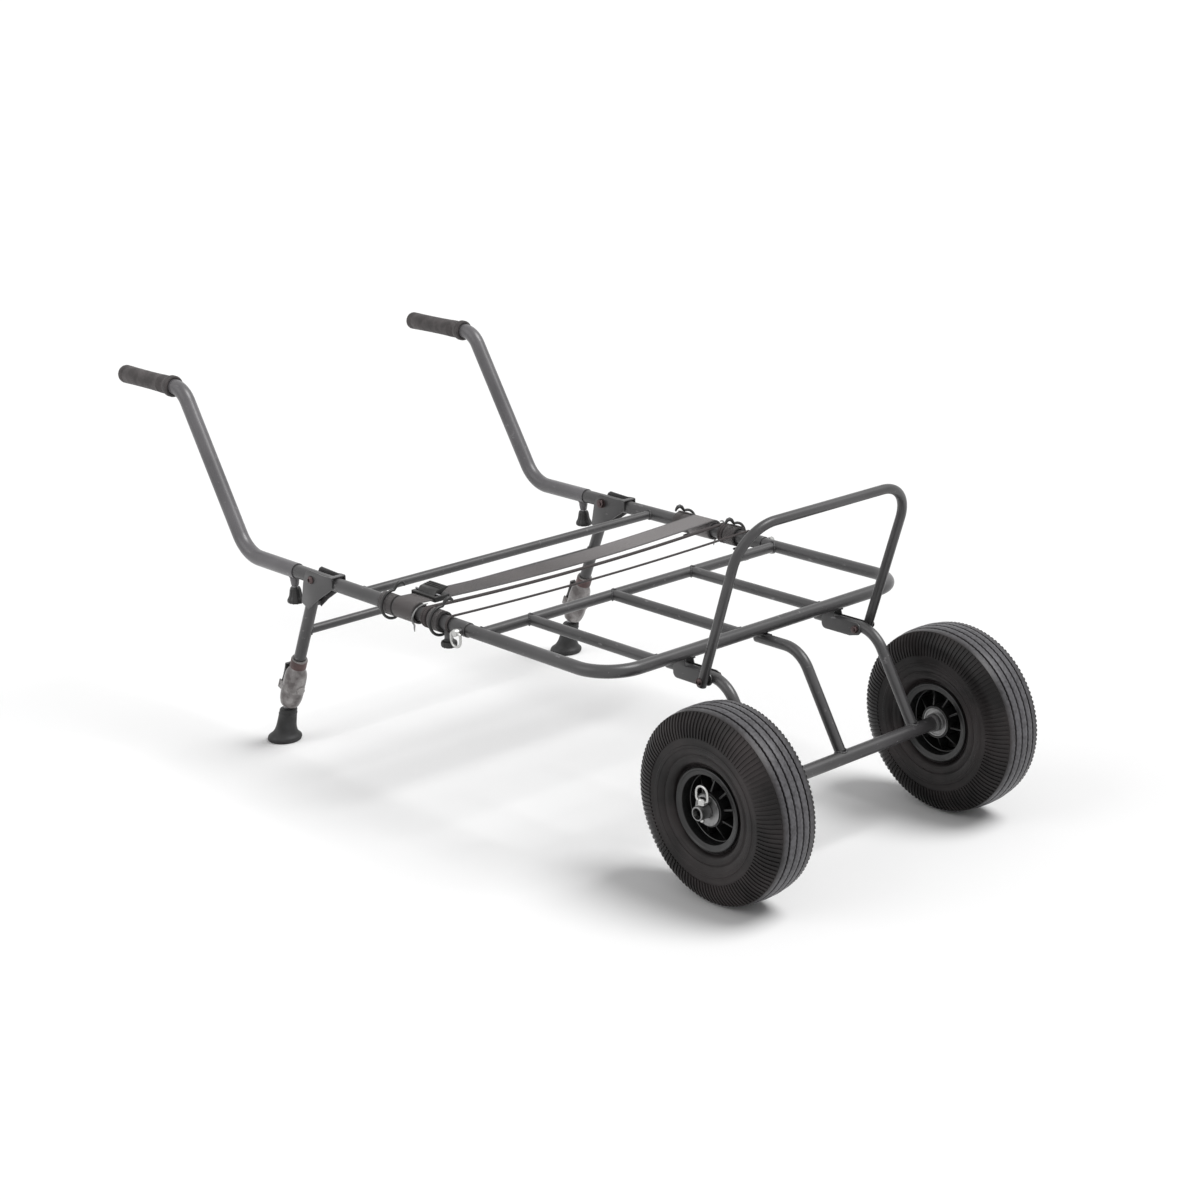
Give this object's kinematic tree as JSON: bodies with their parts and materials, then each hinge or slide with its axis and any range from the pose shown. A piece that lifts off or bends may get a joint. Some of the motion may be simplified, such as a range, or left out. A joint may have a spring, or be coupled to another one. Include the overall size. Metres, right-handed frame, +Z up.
{
  "type": "flat barrow",
  "caption": "Flat two-wheeled fishing barrow with a telescopic tube frame, pneumatic wheels, folding legs and guard, straps and sliding cranked handles.",
  "frame": {"origin": "on the floor, at the centre of the bounding box of the barrow standing on its wheels and feet", "axes": "+Z up, -Y towards the front wheels, +Y towards the grips, +X towards the far side of the picture"},
  "size_m": [0.655, 1.4706, 0.5575],
  "materials": {
    "frame_paint": "satin dark grey powder coat",
    "handle_paint": "satin mid grey powder coat",
    "tyre_rubber": "matt black-grey rubber",
    "tube_rubber": "smooth black butyl rubber",
    "rim_plastic": "black moulded plastic",
    "grip_rubber": "matt dark grey-brown rubber",
    "foot_rubber": "matt black rubber",
    "black_plastic": "black moulded plastic",
    "clamp_plastic": "grey moulded plastic",
    "bright_steel": "bright plated steel",
    "tube_steel": "zinc plated steel",
    "strap_fabric": "woven dark grey-brown webbing and cord"
  },
  "bodies": {
    "rear_frame": {"rail_left": "frame_paint", "rail_right": "frame_paint", "crossbar_rear": "frame_paint", "leg_bolt_left": "tube_steel", "leg_bolt_right": "tube_steel", "strap_web": "strap_fabric", "strap_cord_rear": "strap_fabric", "strap_cord_front": "strap_fabric", "strap_buckle": "black_plastic", "strap_hook_left": "black_plastic", "strap_hook_right": "black_plastic"},
    "front_frame": {"front_tube": "frame_paint", "crossbar_mid": "frame_paint", "deck_bar_left": "frame_paint", "deck_bar_centre": "frame_paint", "deck_bar_right": "frame_paint", "fork_left": "frame_paint", "fork_centre": "frame_paint", "fork_right": "frame_paint", "axle_tube": "frame_paint", "guard_bolt_left": "tube_steel", "guard_bolt_right": "tube_steel", "axle_washer_left": "bright_steel", "axle_washer_right": "bright_steel"},
    "guard": {"guard_loop": "frame_paint"},
    "leg_frame": {"leg_left": "frame_paint", "leg_right": "frame_paint", "leg_brace": "frame_paint", "leg_clamp_left": "clamp_plastic", "leg_clamp_right": "clamp_plastic"},
    "wheel_left": {"tyre_left": "tyre_rubber", "inner_tube_left": "tube_rubber", "rim_left": "rim_plastic", "bearing_set_left": "bright_steel"},
    "axle_pin_body_left": {"axle_pin_left": "bright_steel"},
    "pin_ring_body_left": {"pin_ring_left": "bright_steel"},
    "section_pin_body_left": {"section_pin_left": "bright_steel"},
    "pull_ring_body_left": {"pull_ring_left": "bright_steel"},
    "section_knob_body_left": {"section_knob_left": "black_plastic"},
    "handle_body_left": {"handle_left": "handle_paint", "grip_left": "grip_rubber"},
    "handle_knob_body_left": {"handle_knob_left": "black_plastic"},
    "leg_lever_body_left": {"leg_lever_left": "black_plastic"},
    "leg_lower_left": {"leg_slide_left": "tube_steel", "foot_left": "foot_rubber"},
    "wheel_right": {"tyre_right": "tyre_rubber", "inner_tube_right": "tube_rubber", "rim_right": "rim_plastic", "bearing_set_right": "bright_steel"},
    "axle_pin_body_right": {"axle_pin_right": "bright_steel"},
    "pin_ring_body_right": {"pin_ring_right": "bright_steel"},
    "section_pin_body_right": {"section_pin_right": "bright_steel"},
    "pull_ring_body_right": {"pull_ring_right": "bright_steel"},
    "section_knob_body_right": {"section_knob_right": "black_plastic"},
    "handle_body_right": {"handle_right": "handle_paint", "grip_right": "grip_rubber"},
    "handle_knob_body_right": {"handle_knob_right": "black_plastic"},
    "leg_lever_body_right": {"leg_lever_right": "black_plastic"},
    "leg_lower_right": {"leg_slide_right": "tube_steel", "foot_right": "foot_rubber"}
  },
  "joints": [
    {"name": "front_slide", "type": "slide", "parent": "rear_frame", "child": "front_frame", "axis": [0, -1, 0], "range_m": [0, 0.12]},
    {"name": "guard_fold", "type": "hinge", "parent": "front_frame", "child": "guard", "pos_m": [0, -0.49277, 0.268], "axis": [1, 0, 0], "range_deg": [0, 71]},
    {"name": "leg_fold", "type": "hinge", "parent": "rear_frame", "child": "leg_frame", "pos_m": [0, 0.21423, 0.295], "axis": [-1, 0, 0], "range_deg": [0, 78]},
    {"name": "wheel_spin_left", "type": "hinge", "parent": "front_frame", "child": "wheel_left", "pos_m": [0.229, -0.59777, 0.1375], "axis": [1, 0, 0], "continuous": true},
    {"name": "axle_pin_pull_left", "type": "slide", "parent": "front_frame", "child": "axle_pin_body_left", "axis": [0, 0, 1], "range_m": [0, 0.026]},
    {"name": "pin_ring_fold_left", "type": "hinge", "parent": "axle_pin_body_left", "child": "pin_ring_body_left", "pos_m": [0.2728, -0.59777, 0.1528], "axis": [0, 1, 0], "range_deg": [0, 90]},
    {"name": "section_pin_pull_left", "type": "slide", "parent": "rear_frame", "child": "section_pin_body_left", "axis": [1, 0, 0], "range_m": [0, 0.01], "stiffness_N_per_m": 500, "springref_m": -0.003},
    {"name": "pull_ring_swing_left", "type": "hinge", "parent": "section_pin_body_left", "child": "pull_ring_body_left", "pos_m": [0.3208, -0.14877, 0.295], "axis": [0, -1, 0], "range_deg": [0, 80]},
    {"name": "section_knob_turn_left", "type": "hinge", "parent": "rear_frame", "child": "section_knob_body_left", "pos_m": [0.3, -0.10627, 0.272], "axis": [0, 0, 1], "range_deg": [0, 360]},
    {"name": "handle_slide_left", "type": "slide", "parent": "rear_frame", "child": "handle_body_left", "axis": [0, 1, 0], "range_m": [0, 0.06]},
    {"name": "handle_knob_turn_left", "type": "hinge", "parent": "handle_body_left", "child": "handle_knob_body_left", "pos_m": [0.3, 0.27723, 0.262], "axis": [0, 0, 1], "range_deg": [0, 360]},
    {"name": "leg_lever_open_left", "type": "hinge", "parent": "leg_frame", "child": "leg_lever_body_left", "pos_m": [0.3, 0.32537, 0.09804], "axis": [-1, 0, 0], "range_deg": [0, 110]},
    {"name": "leg_extend_left", "type": "slide", "parent": "leg_frame", "child": "leg_lower_left", "axis": [0, 0.4019, -0.9157], "range_m": [0, 0.06]},
    {"name": "wheel_spin_right", "type": "hinge", "parent": "front_frame", "child": "wheel_right", "pos_m": [-0.229, -0.59777, 0.1375], "axis": [1, 0, 0], "continuous": true},
    {"name": "axle_pin_pull_right", "type": "slide", "parent": "front_frame", "child": "axle_pin_body_right", "axis": [0, 0, 1], "range_m": [0, 0.026]},
    {"name": "pin_ring_fold_right", "type": "hinge", "parent": "axle_pin_body_right", "child": "pin_ring_body_right", "pos_m": [-0.2728, -0.59777, 0.1528], "axis": [0, -1, 0], "range_deg": [0, 90]},
    {"name": "section_pin_pull_right", "type": "slide", "parent": "rear_frame", "child": "section_pin_body_right", "axis": [-1, 0, 0], "range_m": [0, 0.01], "stiffness_N_per_m": 500, "springref_m": -0.003},
    {"name": "pull_ring_swing_right", "type": "hinge", "parent": "section_pin_body_right", "child": "pull_ring_body_right", "pos_m": [-0.3208, -0.14877, 0.295], "axis": [0, 1, 0], "range_deg": [0, 80]},
    {"name": "section_knob_turn_right", "type": "hinge", "parent": "rear_frame", "child": "section_knob_body_right", "pos_m": [-0.3, -0.10627, 0.272], "axis": [0, 0, 1], "range_deg": [0, 360]},
    {"name": "handle_slide_right", "type": "slide", "parent": "rear_frame", "child": "handle_body_right", "axis": [0, 1, 0], "range_m": [0, 0.06]},
    {"name": "handle_knob_turn_right", "type": "hinge", "parent": "handle_body_right", "child": "handle_knob_body_right", "pos_m": [-0.3, 0.27723, 0.262], "axis": [0, 0, 1], "range_deg": [0, 360]},
    {"name": "leg_lever_open_right", "type": "hinge", "parent": "leg_frame", "child": "leg_lever_body_right", "pos_m": [-0.3, 0.32537, 0.09804], "axis": [-1, 0, 0], "range_deg": [0, 110]},
    {"name": "leg_extend_right", "type": "slide", "parent": "leg_frame", "child": "leg_lower_right", "axis": [0, 0.4019, -0.9157], "range_m": [0, 0.06]}
  ]
}
